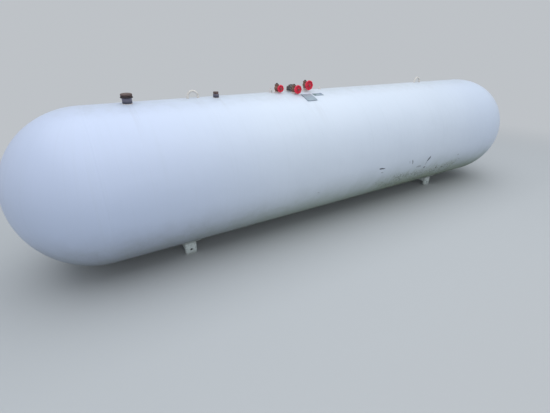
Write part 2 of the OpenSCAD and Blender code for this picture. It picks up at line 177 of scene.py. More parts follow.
class Bench:
    """Adds nodes to one tree. A value is a signal, which is wired, or a number or colour."""

    def __init__(self, tree):
        self.tree = tree

    def feed(self, socket, value):
        if isinstance(value, Signal):
            self.tree.links.new(value.socket, socket)
        elif socket.type == "RGBA":
            socket.default_value = (*value, 1)
        else:
            socket.default_value = value

    def node(self, kind, *values, **settings):
        """A node with its settings, and with values in its first inputs."""
        node = self.tree.nodes.new(kind)
        for key, value in settings.items():
            setattr(node, key, value)
        for socket, value in zip(node.inputs, values):
            self.feed(socket, value)
        return node

    def feed_named(self, sockets, values):
        for title, value in values.items():
            self.feed(sockets[title.replace("_", " ")], value)

    def out(self, kind, title, **values):
        """The named output of a node with values in its named inputs."""
        node = self.node(kind)
        self.feed_named(node.inputs, values)
        return Signal(self, node.outputs[title])

    def math(self, operation, *values):
        return Signal(self, self.node("ShaderNodeMath", *values, operation=operation).outputs[0])

    def larger(self, first, second):
        return self.math("MAXIMUM", first, second)

    def away(self, first, second):
        """The length of a step along one axis and across it."""
        return self.math("SQRT", first * first + second * second)

    def join(self, *values):
        return Signal(self, self.node("ShaderNodeCombineXYZ", *values).outputs[0])

    def split(self, place):
        return [Signal(self, socket) for socket in self.node("ShaderNodeSeparateXYZ", place).outputs]

    def place(self):
        return self.out("ShaderNodeTexCoord", "Object")

    def noise(self, place, scale, detail, roughness):
        return self.out("ShaderNodeTexNoise", "Fac", Vector=place, Scale=scale, Detail=detail,
                        Roughness=roughness)

    def fade(self, value, start, end, low=0.0, high=1.0):
        """A smooth step from low to high while the value goes from start to end."""
        node = self.node("ShaderNodeMapRange", value, start, end, low, high,
                         interpolation_type="SMOOTHSTEP")
        return Signal(self, node.outputs["Result"])

    def mix(self, amount, first, second):
        """One colour over another. A colour mix keeps its amount in input 0, its colours in 6 and 7."""
        node = self.node("ShaderNodeMix", amount, data_type="RGBA")
        self.feed(node.inputs[6], first)
        self.feed(node.inputs[7], second)
        return Signal(self, node.outputs[2])

    def use(self, group, **values):
        """The outputs of a group by name, with values in its named inputs."""
        node = self.node("ShaderNodeGroup", node_tree=group)
        self.feed_named(node.inputs, values)
        return {socket.name: Signal(self, socket) for socket in node.outputs}

    def give(self, **values):
        """Wires the results of a group, and returns the group."""
        self.feed_named(self.node("NodeGroupOutput").inputs, values)
        print("group", self.tree.name, "gives", ", ".join(values))
        return self.tree


def effect(name, inputs, outputs):
    """A new group with named sockets: returns its bench and its inlets by name."""
    group = bpy.data.node_groups.new(name, "ShaderNodeTree")
    for title, value in inputs.items():
        kind = VECTOR if isinstance(value, tuple) else FLOAT
        group.interface.new_socket(title, in_out="INPUT", socket_type=kind).default_value = value
    for title, kind in outputs.items():
        group.interface.new_socket(title, in_out="OUTPUT", socket_type=kind)
    bench = Bench(group)
    return bench, {socket.name: Signal(bench, socket) for socket in bench.node("NodeGroupInput").outputs}


# %% [markdown]
# ## Where a point lies on the tank
# Rain doesn't care about x and y: it runs down the steepest line. On the cylinder that line keeps
# its x, and on a round head it goes through the head's top. This group turns a place into useful
# numbers: the distance along the tank, the height, the angle from the top, the way down from the
# top, and a point that is the same for the whole fall line, so that streaks can follow it.

# %% Group: place on the tank
def make_tank_place():
    bench, _ = effect("tank_place", {}, {
        "Along": FLOAT, "Height": FLOAT, "Degrees": FLOAT, "Drop": FLOAT, "Fall Line": VECTOR})
    x, y, z = bench.split(bench.place())
    up = z - AXIS_Z
    degrees = bench.math("DEGREES", bench.math("ARCTAN2", -y, up))
    past_seam = bench.larger(abs(x) - SEAM_X, 0.0)
    span = bench.larger(bench.away(past_seam, y), MM)
    line_x = x + bench.math("SIGN", x) * (past_seam / span * RADIUS - past_seam)
    drop = bench.math("ARCCOSINE", up / RADIUS) * RADIUS
    fall_line = bench.join(line_x, y / span * RADIUS, drop)
    return bench.give(Along=x, Height=z, Degrees=degrees, Drop=drop, Fall_Line=fall_line)


TANK_PLACE = make_tank_place()

# %% [markdown]
# ## Runs of rain
# Water carries dust down the paint and leaves soft grey streaks. A noise that is fine across the
# fall line and long along it gives them. Two inputs set how far apart and how long they are.

# %% Group: rain runs
def make_rain_runs():
    bench, inlet = effect(
        "rain_runs", {"Fall Line": (0, 0, 0), "Spacing": 0.03, "Length": 0.8}, {"Mask": FLOAT})
    x, y, drop = bench.split(inlet["Fall Line"])
    streak = bench.join(x / inlet["Spacing"], y / inlet["Spacing"], drop / inlet["Length"])
    return bench.give(Mask=bench.fade(bench.noise(streak, 1.0, 4.0, 0.6), 0.48, 0.72))


RAIN_RUNS = make_rain_runs()

# %% [markdown]
# ## A stain below a fitting
# Rust and dirt wash out from under a fitting and run down in a fan of thin streaks that fades.
# The mask starts at the fitting's own x and drop, spreads slowly and is broken up by fine runs.

# %% Group: stain below
def make_stain_below():
    bench, inlet = effect(
        "stain_below",
        {"Fall Line": (0, 0, 0), "At X": 0.0, "At Drop": 0.0, "Half Width": 0.03, "Length": 0.3},
        {"Mask": FLOAT})
    x, y, drop = bench.split(inlet["Fall Line"])
    below = (drop - inlet["At Drop"]) / inlet["Length"]
    share = abs(x - inlet["At X"]) / (inlet["Half Width"] * (below * 0.6 + 1.0))
    streaks = bench.noise(bench.join(x * 140.0, y, drop * 3.0), 1.0, 3.0, 0.6)
    inside = bench.fade(share, 1.0, 0.2) * bench.fade(streaks, 0.35, 0.62)
    return bench.give(Mask=inside * bench.fade(below, -0.03, 0.03) * bench.fade(below, 1.0, 0.05))


STAIN_BELOW = make_stain_below()

# %% [markdown]
# ## Scuffs
# Low on the front the paint has been rubbed and knocked off in places. Each scuff is a small
# slanted oval on the unrolled surface, and a noise eats its edge, so that no two look alike.

# %% Group: scuff
def make_scuff():
    bench, inlet = effect(
        "scuff",
        {"Along": 0.0, "Drop": 0.0, "At X": 0.0, "At Degrees": 100.0, "Half Length": 0.04,
         "Half Width": 0.01, "Slant": 0.0, "Ragged": 0.6},
        {"Mask": FLOAT})
    off_x = inlet["Along"] - inlet["At X"]
    off_down = inlet["Drop"] - bench.math("RADIANS", inlet["At Degrees"]) * RADIUS
    turn = bench.math("RADIANS", inlet["Slant"])
    cosine = bench.math("COSINE", turn)
    sine = bench.math("SINE", turn)
    long_way = off_x * cosine + off_down * sine
    short_way = off_down * cosine - off_x * sine
    oval = bench.away(long_way / inlet["Half Length"], short_way / inlet["Half Width"])
    grit = bench.noise(bench.join(long_way * 60.0, short_way * 200.0, inlet["At X"]), 1.0, 4.0, 0.65)
    edge = (grit - 0.5) * (inlet["Ragged"] * 4.0) + oval
    return bench.give(Mask=bench.fade(edge, 1.0, 0.75))


SCUFF = make_scuff()

# %% [markdown]
# ## Small effects for every finish
# Blotches vary a tone over a hand's width. Grain is the fine skin of sprayed paint or cast metal.
# Dust settles on faces that look up. Chips are small sharp flakes where paint is gone. Rust is a
# pair of browns. Each is one group, used by many materials with its own values.

# %% Groups: blotches, grain, dust, chips and rust
def make_blotches():
    bench, inlet = effect("blotches", {"Scale": 3.0, "Low": 0.35, "High": 0.65}, {"Mask": FLOAT})
    cloud = bench.noise(bench.place(), inlet["Scale"], 4.0, 0.6)
    return bench.give(Mask=bench.fade(cloud, inlet["Low"], inlet["High"]))


def make_grain():
    bench, inlet = effect("grain", {"Scale": 400.0}, {"Height": FLOAT})
    return bench.give(Height=bench.noise(bench.place(), inlet["Scale"], 2.0, 0.5))


def make_dust():
    bench, inlet = effect("dust", {"Scale": 60.0, "Steepest": 0.4}, {"Mask": FLOAT})
    _, _, up = bench.split(bench.out("ShaderNodeNewGeometry", "Normal"))
    patchy = bench.fade(bench.noise(bench.place(), inlet["Scale"], 4.0, 0.65), 0.35, 0.7)
    return bench.give(Mask=bench.fade(up, inlet["Steepest"], 1.0) * patchy)


def make_chips():
    bench, inlet = effect("chips", {"Scale": 60.0, "Share": 0.1}, {"Mask": FLOAT})
    flakes = bench.noise(bench.place(), inlet["Scale"], 5.0, 0.7)
    limit = inlet["Share"] * -0.5 + 0.78
    return bench.give(Mask=bench.fade(flakes, limit, limit + 0.02))


def make_rust():
    bench, inlet = effect("rust", {"Scale": 120.0}, {"Color": COLOUR, "Height": FLOAT})
    pits = bench.noise(bench.place(), inlet["Scale"], 5.0, 0.7)
    brown = bench.mix(bench.fade(pits, 0.35, 0.65), (0.050, 0.022, 0.014), (0.190, 0.070, 0.028))
    return bench.give(Color=brown, Height=pits)


BLOTCHES = make_blotches()
GRAIN = make_grain()
DUST = make_dust()
CHIPS = make_chips()
RUST = make_rust()

# %% [markdown]
# ## Coats of a finish
# A painter lays one coat over another, and weather adds more. A finish is built the same way: two
# tones first, then coat after coat, each through a mask. The shader itself stays in the material,
# and what is the same all over, such as a gloss coat, is set on its own sockets.

# %% A bench for finishes
FINISHES = {}


class Finish(Bench):
    """A material whose colour is laid on coat by coat."""

    def __init__(self, name):
        self.name = name
        self.material = bpy.data.materials.new(name)
        self.material.use_nodes = True
        super().__init__(self.material.node_tree)
        self.shader = self.tree.nodes["Principled BSDF"].inputs

    def tones(self, mask, first, second):
        self.colour = self.mix(mask, first, second)

    def coat(self, mask, colour):
        self.colour = self.mix(mask, self.colour, colour)

    def blotches(self, scale, low=0.3, high=0.7):
        return self.use(BLOTCHES, Scale=scale, Low=low, High=high)["Mask"]

    def chips(self, scale, share):
        return self.use(CHIPS, Scale=scale, Share=share)["Mask"]

    def dust(self, scale, steepest):
        return self.use(DUST, Scale=scale, Steepest=steepest)["Mask"]

    def grain(self, scale):
        return self.use(GRAIN, Scale=scale)["Height"]

    def done(self, roughness, relief=None, depth=0.0, **plain):
        """Feeds the shader. Relief is a height, depth its size in mm, and the rest plain values."""
        self.feed(self.shader["Base Color"], self.colour)
        self.feed(self.shader["Roughness"], roughness)
        if relief:
            bump = self.out("ShaderNodeBump", "Normal", Height=relief, Distance=depth * MM, Strength=1.0)
            self.feed(self.shader["Normal"], bump)
        self.feed_named(self.shader, plain)
        FINISHES[self.name] = self.material
        print("finish", self.name, "has", len(self.tree.nodes), "nodes")


# %% [markdown]
# ## The tank's paint
# White enamel, washed clean by rain. Towards the left end the paint is bluer and darker, as painted shade
# and a painted reflection of darker surroundings, towards the right end a little bluer and darker too,
# and only faint runs and stains hang below the fittings. A greenish film, partly dirt and partly painted
# shade, darkens the lower third, with a nearly black band of painted shade under the belly, algae and
# dark flecks low on the front near the middle, and a few scuffs that show dark metal. The paint has a
# faint orange peel, and the gloss shows that the plate isn't quite true.

# %% Stains below the fittings
STAIN_LENGTHS = {"riser_pipe": 0.42, "iron_port_coupling": 0.30, "left_valve_coupling": 0.30,
                 "middle_valve_coupling": 0.38, "right_valve_coupling": 0.26, "left_lifting_lug": 0.22,
                 "right_lifting_lug": 0.22, "data_plate": 0.34}
print("stains below", len(STAIN_LENGTHS), "fittings")

# %% Scuffs low on the front
# Each goes from one place to another (x, angle from the top), with half its width and its depth.
SCUFFS = [
    (0.215, 101.9, 0.294, 102.7, 0.0075, 1.00),
    (0.259, 106.9, 0.293, 107.4, 0.0065, 0.40),
    (0.647, 100.1, 0.674, 105.7, 0.0085, 0.60),
    (0.612, 100.8, 0.626, 103.8, 0.0060, 0.28),
    (0.915, 101.3, 0.887, 106.1, 0.0140, 0.85),
    (0.887, 106.1, 0.885, 110.5, 0.0080, 0.40),
    (0.889, 114.8, 0.905, 114.2, 0.0120, 0.85),
    (0.761, 110.8, 0.826, 111.0, 0.0130, 0.38),
    (1.385, 107.7, 1.405, 107.4, 0.0090, 0.38),
    (1.455, 114.7, 1.470, 114.4, 0.0080, 0.38),
    (-0.430, 112.0, -0.405, 113.0, 0.0035, 0.35),
]
print("scuffs:", len(SCUFFS))


# %% Material: tank paint
def stains(paint, fall):
    """The darkest of all stains at a point."""
    stain = 0.0
    for node, length in STAIN_LENGTHS.items():
        middle = middle_of(node)
        half = width_of(node) / 2
        mask = paint.use(STAIN_BELOW, Fall_Line=fall, At_X=middle.x, At_Drop=abs(middle.y) + half,
                         Half_Width=half * 0.9, Length=length)["Mask"]
        stain = paint.larger(stain, mask)
    return stain


def scuffs(paint, place):
    """The deepest of all scuffs at a point of the front."""
    scuffed = 0.0
    for x, degrees, end_x, end_degrees, half_width, depth in SCUFFS:
        across = end_x - x
        down = radians(end_degrees - degrees) * RADIUS
        mask = paint.use(SCUFF, Along=place["Along"], Drop=place["Drop"], At_X=(x + end_x) / 2,
                         At_Degrees=(degrees + end_degrees) / 2, Half_Width=half_width, Ragged=0.35,
                         Half_Length=math.hypot(across, down) / 2 + half_width / 2,
                         Slant=math.degrees(atan2(down, across)))["Mask"]
        scuffed = paint.larger(scuffed, mask * depth)
    return scuffed * paint.fade(place["Degrees"], 0.0, 1.0)


def tank_paint():
    paint = Finish("tank_paint")
    place = paint.use(TANK_PLACE)
    along, drop, fall = place["Along"], place["Drop"], place["Fall Line"]
    steepness = paint.math("DEGREES", drop / RADIUS)
    paint.tones(paint.blotches(1.6), (0.664, 0.716, 0.797), (0.638, 0.691, 0.775))
    # Painted shade and a painted reflection of darker surroundings: the paint turns bluer and darker towards
    # the left end, and more so low on its sides.
    left_end_painted_shade = paint.fade(along, -0.4, -2.1)
    paint.coat(left_end_painted_shade, (0.582, 0.640, 0.800))
    paint.coat(left_end_painted_shade * paint.fade(steepness, 55.0, 105.0) * 0.28, (0.400, 0.490, 0.640))
    # The paint also turns a little bluer and darker towards the right end.
    paint.coat(paint.fade(along, 1.0, 1.9, 0.0, 0.6), (0.585, 0.650, 0.780))

    fine_runs = paint.use(RAIN_RUNS, Fall_Line=fall, Spacing=0.018, Length=0.9)["Mask"]
    wide_runs = paint.use(RAIN_RUNS, Fall_Line=fall, Spacing=0.11, Length=1.4)["Mask"]
    runs = (wide_runs * 0.3 + fine_runs * 0.7) * paint.fade(drop, 0.03, 0.45)
    paint.coat(runs * 0.09, (0.470, 0.515, 0.545))
    paint.coat(stains(paint, fall) * 0.12, (0.330, 0.300, 0.265))
    dusty = paint.dust(14.0, 0.86) * 0.16 + paint.fade(steepness, 26.0, 4.0) * 0.18
    paint.coat(dusty, (0.400, 0.415, 0.400))
    specks = paint.chips(95.0, 0.12) * paint.fade(steepness, 52.0, 6.0)
    paint.coat(specks * 0.35, (0.170, 0.150, 0.120))

    # Below the equator a greenish film, partly dirt and partly painted shade, darkens the lower third, and a
    # nearly black band of painted shade lies under the belly.
    low_angle = (paint.blotches(7.0) - 0.5) * 4.0 + steepness
    film = paint.fade(low_angle, 95.5, 146.0) * paint.fade(along, -0.2, 0.8, 0.74, 0.90)
    grime = paint.mix(paint.fade(along, -1.9, -0.3), (0.190, 0.200, 0.195), (0.180, 0.235, 0.150))
    paint.coat(film, grime)
    paint.coat(paint.fade(low_angle, 140.0, 165.0) * 0.60, (0.085, 0.092, 0.070))
    low_front = paint.fade(along, 0.15, 0.50) * paint.fade(along, 1.70, 1.30)
    algae = paint.fade(low_angle, 110.0, 126.0) * paint.blotches(9.0, 0.38, 0.62)
    paint.coat(algae * (low_front * 0.18 + 0.08), (0.250, 0.300, 0.150))
    splash = paint.blotches(72.0, 0.50, 0.60) * paint.blotches(12.0, 0.36, 0.62)
    flecks = splash * paint.fade(low_angle, 111.0, 123.0) * (low_front * 0.84 + 0.06)
    paint.coat(flecks, (0.060, 0.075, 0.050))

    scuffed = scuffs(paint, place)
    bared = paint.mix(paint.blotches(160.0, 0.4, 0.7), (0.040, 0.048, 0.070), (0.110, 0.120, 0.150))
    paint.coat(scuffed, bared)
    relief = paint.grain(4.0) * 6.0 + paint.grain(420.0) * 0.12 - scuffed * 0.5
    paint.done(film * 0.22 + runs * 0.10 + scuffed * 0.20 + 0.40, relief, 0.5)


tank_paint()

# %% [markdown]
# ## Paint on the legs, lugs and couplings
# The legs' paint is grey with dirt, darkest at the foot and rusty where it is chipped, and painted
# shade darkens it over the pads, under the tank's belly. The lugs are cream white, and the couplings
# share the tank's white, but both are dirty where they are welded on. One recipe serves all three,
# with its own colours.

# %% Material: worn paint
PADS_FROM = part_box("front_left_leg")[1].z - 12 * MM


def worn_paint(name, clean, shaded, dirt, chip_share, foot_low, foot_high, foot_dirt):
    """Paint with chips that rust, a dirty zone between two heights, full at the lower one, and painted shade
    over the pads under the tank's belly.
    """
    paint = Finish(name)
    height = paint.use(TANK_PLACE)["Height"]
    paint.tones(paint.blotches(22.0), clean, shaded)
    grime = paint.blotches(70.0, 0.42, 0.75)
    paint.coat(grime * 0.45, dirt)
    foot = paint.fade(grime * ((foot_high - foot_low) * 0.5) + height, foot_high, foot_low)
    paint.coat(foot * foot_dirt, dirt)
    # Painted shade: below the tank's axis the pads and the tops of the legs are darkened like the tank's
    # shaded underside.
    painted_shade_over_pads = paint.fade(height, PADS_FROM - 8 * MM, PADS_FROM + 8 * MM)
    paint.coat(painted_shade_over_pads * paint.fade(height, AXIS_Z, AXIS_Z - 0.1) * 0.6, (0.150, 0.165, 0.150))
    chips = paint.chips(85.0, foot * 0.16 + chip_share)
    paint.coat(chips * 0.9, paint.use(RUST, Scale=160.0)["Color"])
    paint.coat(paint.dust(90.0, 0.3) * 0.35, (0.330, 0.320, 0.290))
    relief = paint.grain(600.0) * 0.3 - chips * 0.8
    paint.done(paint.larger(chips, foot) * 0.30 + 0.46, relief, 0.3)


worn_paint("leg_paint", (0.740, 0.790, 0.765), (0.630, 0.675, 0.650), (0.150, 0.150, 0.125),
           0.08, 0.0, 0.030, 0.60)
worn_paint("lug_paint", (0.790, 0.740, 0.680), (0.700, 0.650, 0.590), (0.360, 0.310, 0.260),
           0.05, CROWN_Z, CROWN_Z + 0.010, 0.40)
worn_paint("fitting_paint", (0.780, 0.730, 0.700), (0.700, 0.655, 0.625), (0.400, 0.340, 0.310),
           0.08, CROWN_Z - 0.012, CROWN_Z + 0.004, 0.35)

# %% [markdown]
# ## Iron, pipe and brass
# The riser is purple grey pipe, darker near its weld and rusty in spots. Caps and plugs are cast
# iron with a dull brown bloom, and the riser cap's skirt is painted nearly black, a painted shadow
# under its rim. The valves are brass that has gone brown and dusty, and the foot of the right one
# has caught the tank's paint.

# %% Materials: grey pipe, cast iron and brass
RISER_X = middle_of("riser_pipe").x
CAP_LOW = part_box("riser_cap")[0].z
SPRAY_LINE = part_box("right_valve_coupling")[1].z + 16 * MM
SPRAY_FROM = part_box("right_valve_body")[0].x - 0.03


def grey_pipe():
    pipe = Finish("grey_pipe")
    tone = pipe.blotches(40.0)
    pipe.tones(tone, (0.190, 0.172, 0.225), (0.140, 0.130, 0.172))
    ragged = tone * (6 * MM) + pipe.use(TANK_PLACE)["Height"]
    pipe.coat(pipe.fade(ragged, CROWN_Z + 0.024, CROWN_Z + 0.010) * 0.75, (0.028, 0.030, 0.046))
    rust = pipe.use(RUST, Scale=190.0)
    spots = pipe.chips(120.0, 0.22)
    pipe.coat(spots * 0.8, rust["Color"])
    pipe.coat(pipe.dust(110.0, 0.3) * 0.45, (0.230, 0.215, 0.190))
    pipe.done(spots * 0.3 + 0.52, rust["Height"], 0.25)


def cast_iron():
    iron = Finish("cast_iron")
    tone = iron.blotches(60.0)
    iron.tones(tone, (0.155, 0.103, 0.092), (0.098, 0.068, 0.063))
    place = iron.use(TANK_PLACE)
    near_riser = iron.fade(abs(place["Along"] - RISER_X), 0.20, 0.10)
    # Painted shadow: the riser cap's skirt is painted nearly black, for the shade under its rim.
    painted_shadow_skirt = iron.fade(tone * (3 * MM) + place["Height"], CAP_LOW + 0.019, CAP_LOW + 0.012)
    iron.coat(near_riser * painted_shadow_skirt * 0.97, (0.012, 0.008, 0.012))
    rust = iron.use(RUST, Scale=240.0)
    bloom = iron.blotches(130.0, 0.50, 0.66)
    iron.coat(bloom * 0.40, rust["Color"])
    iron.coat(iron.dust(140.0, 0.25) * 0.40, (0.240, 0.205, 0.185))
    iron.done(bloom * 0.18 + 0.62, rust["Height"] + iron.grain(900.0) * 0.6, 0.3, Metallic=0.25)


def brass():
    metal = Finish("brass")
    tone = metal.blotches(45.0)
    metal.tones(tone, (0.400, 0.215, 0.150), (0.270, 0.140, 0.105))
    brown = metal.blotches(110.0, 0.40, 0.62)
    metal.coat(brown * 0.8, (0.135, 0.070, 0.058))
    metal.coat(metal.chips(130.0, 0.30) * 0.35, (0.150, 0.180, 0.145))
    up_facing_patches = metal.dust(90.0, 0.1)
    metal.coat(up_facing_patches * 0.55, (0.300, 0.235, 0.205))
    place = metal.use(TANK_PLACE)
    low = metal.fade(tone * (4 * MM) + place["Height"], SPRAY_LINE + 4 * MM, SPRAY_LINE)
    sprayed = low * metal.fade(place["Along"], SPRAY_FROM, SPRAY_FROM + 0.02)
    metal.coat(sprayed * 0.85, (0.740, 0.660, 0.620))
    dull = metal.larger(metal.larger(brown, up_facing_patches), sprayed)
    metal.done(dull * 0.25 + 0.46, metal.grain(800.0), 0.12,
               Metallic=metal.fade(dull, 0.0, 0.8, 0.75, 0.15))


grey_pipe()
cast_iron()
brass()

# %% [markdown]
# ## Red enamel
# The handwheels are cast and dipped in red enamel. Hands have chipped it most on the rims, and
# grime sits in the dish round the hub. How far a point is from its wheel's stem, as a share of the
# wheel's radius, tells the rim from the dish.

# %% Material: red paint
VALVES = ("left", "middle", "right")
OUT_OF_REACH = 9.0


def red_paint():
    paint = Finish("red_paint")
    x, _, z = paint.split(paint.place())
    reach = OUT_OF_REACH
    for side in VALVES:
        hub = middle_of(f"{side}_handwheel")
        radius = width_of(f"{side}_handwheel") / 2
        share = paint.away((x - hub.x) / radius, (z - hub.z) / radius)
        reach = paint.math("MINIMUM", reach, share)
    paint.tones(paint.blotches(55.0), (0.880, 0.011, 0.056), (0.730, 0.009, 0.048))
    paint.coat(paint.blotches(20.0, 0.48, 0.72) * 0.20, (0.760, 0.060, 0.090))
    grime = paint.fade(reach, 0.86, 0.66) * paint.blotches(95.0, 0.34, 0.66)
    paint.coat(grime * 0.42, (0.260, 0.030, 0.046))
    chips = paint.chips(170.0, paint.fade(reach, 0.86, 0.98) * 0.16 + 0.14)
    paint.coat(chips * 0.80, (0.150, 0.095, 0.085))
    paint.coat(paint.dust(160.0, 0.3) * 0.22, (0.420, 0.240, 0.220))
    relief = paint.grain(700.0) * 0.4 - chips * 0.8
    paint.done(paint.larger(chips, grime) * 0.28 + 0.36, relief, 0.2, Coat_Weight=0.25,
               Coat_Roughness=0.25)


red_paint()

# %% [markdown]
# ## Gauge and plates
# The gauge has a dark enamelled case whose top is painted light, with dust and a painted sky
# highlight, a grey weathered face and dusty glass. The plates are thin metal that has lost its
# shine, a dull blue grey, and the small one has two stains.

# %% Materials: gauge case, dial, glass and plate metal
# Each stain: x, angle from the top, half its size and its colour.
PLATE_STAINS = [(-0.240, 16.1, 0.018, (0.120, 0.190, 0.185)), (-0.176, 15.4, 0.013, (0.170, 0.220, 0.330))]


def gauge_case():
    enamel = Finish("gauge_case")
    enamel.tones(enamel.blotches(70.0), (0.092, 0.084, 0.084), (0.060, 0.056, 0.058))
    enamel.coat(enamel.chips(170.0, 0.14) * 0.8, (0.150, 0.130, 0.115))
    # Dust on faces that look up, laid on thick and light as a painted sky highlight on the case's top.
    up_facing_patches = enamel.dust(90.0, 0.1)
    enamel.coat(up_facing_patches * 0.9, (0.420, 0.375, 0.320))
    enamel.done(up_facing_patches * 0.3 + 0.42, enamel.grain(800.0), 0.08)


def gauge_dial():
    face = Finish("gauge_dial")
    tone = face.blotches(90.0)
    face.tones(tone, (0.760, 0.720, 0.690), (0.600, 0.565, 0.535))
    face.done(tone * 0.1 + 0.6)


def gauge_glass():
    glass = Finish("gauge_glass")
    film = glass.blotches(120.0, 0.35, 0.8)
    glass.tones(film, (0.900, 0.915, 0.920), (0.700, 0.705, 0.690))
    glass.done(film * 0.25 + 0.06, Transmission_Weight=1.0, IOR=1.45)


def plate_metal():
    metal = Finish("plate_metal")
    metal.tones(metal.blotches(26.0), (0.322, 0.386, 0.440), (0.285, 0.345, 0.398))
    bloom = metal.blotches(80.0, 0.52, 0.70)
    metal.coat(bloom * 0.30, (0.200, 0.250, 0.270))
    place = metal.use(TANK_PLACE)
    for x, degrees, half, colour in PLATE_STAINS:
        stain = metal.use(SCUFF, Along=place["Along"], Drop=place["Drop"], At_X=x, At_Degrees=degrees,
                          Half_Length=half, Half_Width=half, Ragged=0.5)["Mask"]
        metal.coat(stain * 0.8, colour)
    metal.done(bloom * 0.2 + 0.42, metal.grain(300.0), 0.05, Metallic=0.35)


gauge_case()
gauge_dial()
gauge_glass()
plate_metal()

# %% [markdown]
# ## Dress the solids
# Each solid takes the finish of the slot that the record names for it. Solids that a later cell
# replaces with a finer piece keep it too, because they stay in the model for collisions.

# %% Finishes on the solids
for part in frame["record"]["subparts"]:
    solid = nodes[part["node"]].data
    solid.materials.clear()
    solid.materials.append(FINISHES[part["material_slot"]])

# %% [markdown]
# ## From rings to pieces
# Almost every fitting on the crown comes from a lathe, and some have flats milled or cast on
# them. One function makes them all from rings: a height along the axis, a radius and, where there
# are flats, the distance across them. Each point takes the smaller of the round and the flat
# radius, so a chamfered nut gets the curved edges that a real nut has.

# %% Pieces and turned shapes
HEXAGON = 6
SQUARE = 4
CHAMFER_FROM = 0.475
RIGHT = Vector((1, 0, 0))
UP = Vector((0, 0, 1))
FRONT = Vector((0, -1, 0))


def piece(name, bm, slot, replaced=(), body="tank", sharp=35):
    """Makes a mesh into an object that has its finish, rides on a body and may stand for solids."""
    bmesh.ops.recalc_face_normals(bm, faces=bm.faces)
    mesh = bpy.data.meshes.new(name)
    bm.to_mesh(mesh)
    bm.free()
    mesh.materials.append(FINISHES[slot])
    mesh.shade_smooth()
    mesh.set_sharp_from_angle(angle=radians(sharp))
    obj = put(name, mesh)
    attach(obj, body)
    if replaced:
        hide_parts(*replaced)


def loft(bm, loops, ring=False):
    """Joins closed loops of points with faces. A ring meets itself, and any other shape is capped."""
    rows = [[bm.verts.new(point) for point in loop] for loop in loops]
    if ring:
        rows.append(rows[0])
    for first, second in zip(rows, rows[1:]):
        for i in range(len(first)):
            bm.faces.new((first[i - 1], first[i], second[i], second[i - 1]))
    if not ring:
        bm.faces.new(rows[0])
        bm.faces.new(reversed(rows[-1]))


def circle(steps):
    """The angles of equal steps round a circle."""
    return [2 * pi * i / steps for i in range(steps)]


def flat_radius(angle, flats, sides):
    """Distance from a regular polygon's middle to its edge, in the direction of an angle."""
    wedge = 2 * pi / sides
    return flats / 2 / cos((angle % wedge) - wedge / 2)


def turned(bm, at, axis, rings, sides=HEXAGON, steps=72, shape=None):
    """A closed turned shape along axis. A ring is (height, radius) or (height, radius, flats), in mm.
    shape, where given, changes a radius by its height and angle."""
    across = axis.cross(RIGHT)
    loops = []
    for height, radius, *flats in rings:
        loop = []
        for angle in circle(steps):
            r = min(radius, flat_radius(angle, flats[0], sides)) if flats else radius
            if shape:
                r = shape(height, r, angle)
            arm = RIGHT * cos(angle) + across * sin(angle)
            loop.append(at + axis * height * MM + arm * r * MM)
        loops.append(loop)
    loft(bm, loops)


def lathe(at, axis, *profiles, **settings):
    """A new mesh with one turned shape for each list of rings."""
    bm = bmesh.new()
    for rings in profiles:
        turned(bm, at, axis, rings, **settings)
    return bm


def nut_ends(low, high, flats, sides):
    """The rings of the lower and of the upper end of a nut, each with a turned chamfer."""
    face = CHAMFER_FROM * flats
    rise = flats / 2 / cos(pi / sides) - face
    steps = [(rise * 0.5 * k / 4, face + rise * k / 4) for k in range(5)]
    lower = [(low + down, radius, flats) for down, radius in steps]
    return lower, [(high - down, radius, flats) for down, radius in reversed(steps)]


def nut_rings(low, high, flats):
    lower, upper = nut_ends(low, high, flats, HEXAGON)
    return lower + upper


def threaded(at, axis, low, high, radius, pitch, depth, steps, tip=()):
    """A rod with a helical thread between two heights, and plain rings at its tip."""
    count = round((high - low) / pitch * 6)
    rings = [(low + (high - low) * i / count, radius) for i in range(count + 1)]

    def cut(height, r, angle):
        phase = (height / pitch - angle / (2 * pi)) % 1
        return r - depth * abs(2 * phase - 1) if low <= height <= high else r

    return lathe(at, axis, rings + list(tip), steps=steps, shape=cut)


def loose_boxes(node):
    """The boxes of a solid's separate lumps, from left to right."""
    bm = bmesh.new()
    bm.from_mesh(nodes[node].data)
    bmesh.ops.remove_doubles(bm, verts=bm.verts, dist=0.01 * MM)
    waiting = set(bm.verts)
    boxes = []
    while waiting:
        lump = [waiting.pop()]
        for vert in lump:
            near = {edge.other_vert(vert) for edge in vert.link_edges} & waiting
            waiting -= near
            lump += near
        points = [nodes[node].matrix_world @ vert.co for vert in lump]
        boxes.append([Vector(pick(p[i] for p in points) for i in range(3)) for pick in (min, max)])
    bm.free()
    return sorted(boxes, key=lambda box: box[0].x)


WHITE_PORTS = loose_boxes("white_port_couplings")
print("white ports at x", [round((low.x + high.x) / 2, 3) for low, high in WHITE_PORTS])

# %% [markdown]
# ## Weld beads
# A hand weld is a row of small overlapping scales, a little uneven because the welder's hand
# was. Each bead is a round string laid in the corner between two plates: its radius rises and
# falls with each scale, and wanders slowly over a hand's width.

# %% Weld beads
SCALE_PITCH = 4.2 * MM
BEAD_SHARP = 60
ENDS = ("left", "right")


def walk(points, spacing):
    """Even steps on a closed path on the tank: each is a point, the way ahead and the way across."""
    ends = points + points[:1]
    lengths = [0.0]
    for a, b in zip(ends, ends[1:]):
        lengths.append(lengths[-1] + (b - a).length)
    count = round(lengths[-1] / spacing)
    path = []
    k = 0
    for i in range(count):
        s = lengths[-1] * i / count
        while lengths[k + 1] < s:
            k += 1
        path.append(ends[k].lerp(ends[k + 1], (s - lengths[k]) / (lengths[k + 1] - lengths[k])))
    steps = []
    for before, point, after in zip(path[-1:] + path, path, path[1:] + path[:1]):
        ahead = (after - before).normalized()
        steps.append((point, ahead, ahead.cross(off_tank(point)).normalized()))
    return steps


